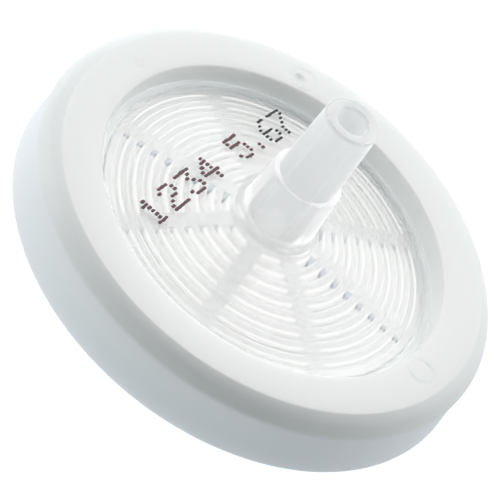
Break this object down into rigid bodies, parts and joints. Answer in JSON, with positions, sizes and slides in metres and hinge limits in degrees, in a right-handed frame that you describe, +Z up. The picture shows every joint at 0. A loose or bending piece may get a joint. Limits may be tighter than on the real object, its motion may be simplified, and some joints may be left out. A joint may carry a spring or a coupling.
{
  "type": "syringe filter",
  "caption": "Round disc filter for a syringe, with a ribbed clear plastic disc in a white clamping ring, a luer nozzle outlet and a luer lock inlet.",
  "frame": {"origin": "centre of the part's footprint, on the flat end of the inlet", "axes": "+Z runs up the part's axis from the inlet's open end to the outlet nozzle's tip; +X passes through one lug of the inlet"},
  "size_m": [0.034, 0.034, 0.0246],
  "materials": {
    "clear_housing": "clear natural polypropylene, glossy outside",
    "clear_inlet": "clear natural polypropylene, glossy outside",
    "white_ring": "milky natural polypropylene, satin",
    "membrane_sheet": "matt white filter sheet"
  },
  "bodies": {
    "root": {"outlet_housing": "clear_housing", "inlet_housing": "clear_inlet", "overmould_ring": "white_ring", "membrane": "membrane_sheet"}
  },
  "joints": []
}
